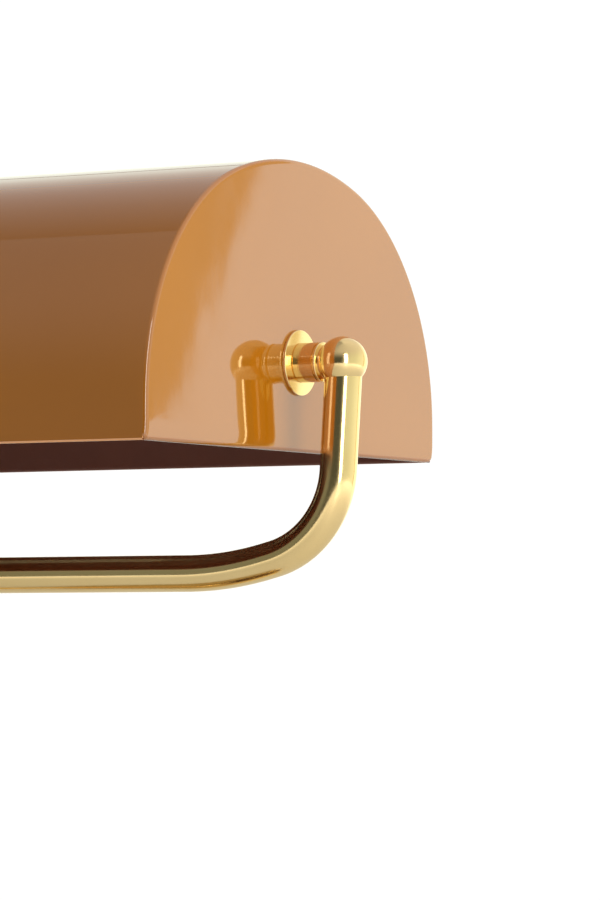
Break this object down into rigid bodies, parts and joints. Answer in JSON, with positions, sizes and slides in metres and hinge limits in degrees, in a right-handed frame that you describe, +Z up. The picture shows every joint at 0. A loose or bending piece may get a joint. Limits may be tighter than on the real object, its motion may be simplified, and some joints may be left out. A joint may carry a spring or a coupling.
{
  "type": "banker desk lamp",
  "caption": "Desk lamp with a half-round enamelled metal shade that tilts between the arms of a polished brass yoke, on a column and a weighted round base with a push switch.",
  "frame": {"origin": "middle of the base's underside, on the desk", "axes": "+Z up, +X along the shade and its tilt axis, -Y the front with the push switch"},
  "size_m": [0.3002, 0.1915, 0.3542],
  "materials": {
    "caramel_enamel": "smooth gloss enamel, caramel brown outside, dark brown inside",
    "polished_brass": "mirror polished and lacquered",
    "plain_brass": "turned, unpolished",
    "zinc_steel": "zinc plated",
    "spring_steel": "hardened, dark",
    "cast_iron": "rough black-painted casting",
    "black_moulding": "black phenolic moulding",
    "lead_sleeve": "matte sleeve over a two-core lead",
    "felt": "pressed wool felt",
    "contact_bronze": "phosphor bronze strip",
    "nickel_cap": "rolled thin sheet",
    "clear_glass": "clear blown glass",
    "tungsten": "drawn wire"
  },
  "bodies": {
    "stand": {"felt_pad": "felt", "base_plate": "zinc_steel", "plate_screws": "zinc_steel", "base_weight": "cast_iron", "base_cover": "polished_brass", "cord_inlet": "black_moulding", "inlet_nut": "zinc_steel", "terminal_block": "black_moulding", "terminal_screws": "plain_brass", "switch_case": "black_moulding", "switch_bezel": "polished_brass", "button_spring": "spring_steel", "column_foot": "polished_brass", "column_tube": "polished_brass", "column_neck": "polished_brass", "threaded_rod": "zinc_steel", "rod_washer": "zinc_steel", "rod_nut": "zinc_steel", "yoke_hub": "polished_brass", "hub_set_screws": "zinc_steel", "yoke_arm_right": "polished_brass", "yoke_arm_left": "polished_brass", "yoke_ball_right": "polished_brass", "yoke_ball_left": "polished_brass", "pivot_sleeve_right": "polished_brass", "pivot_sleeve_left": "polished_brass", "pivot_nipple_right": "plain_brass", "pivot_nipple_left": "plain_brass", "outer_washers": "polished_brass", "inner_washers": "plain_brass", "disc_springs": "spring_steel", "pivot_nuts": "plain_brass", "supply_lead": "lead_sleeve"},
    "shade": {"shade_shell": "caramel_enamel", "end_cap_right": "caramel_enamel", "end_cap_left": "caramel_enamel", "pivot_bushes": "plain_brass", "holder_bracket": "zinc_steel", "bracket_rivets": "zinc_steel", "holder_nipple": "zinc_steel", "holder_nut": "zinc_steel", "holder_dome": "black_moulding", "holder_body": "black_moulding", "holder_thread": "plain_brass", "holder_contact": "contact_bronze", "holder_lead": "lead_sleeve", "bulb_cap": "nickel_cap", "bulb_contact": "contact_bronze", "bulb_glass": "clear_glass", "bulb_mount": "clear_glass", "bulb_filament": "tungsten"},
    "button": {"push_button": "polished_brass"}
  },
  "joints": [
    {"name": "shade_tilt", "type": "hinge", "parent": "stand", "child": "shade", "pos_m": [0, 0, 0.3], "axis": [1, 0, 0], "range_deg": [-45, 45]},
    {"name": "button_press", "type": "slide", "parent": "stand", "child": "button", "axis": [0, 0, -1], "range_m": [0, 0.003], "stiffness_N_per_m": 600, "springref_m": -0.002, "deforming": ["button_spring"]}
  ]
}
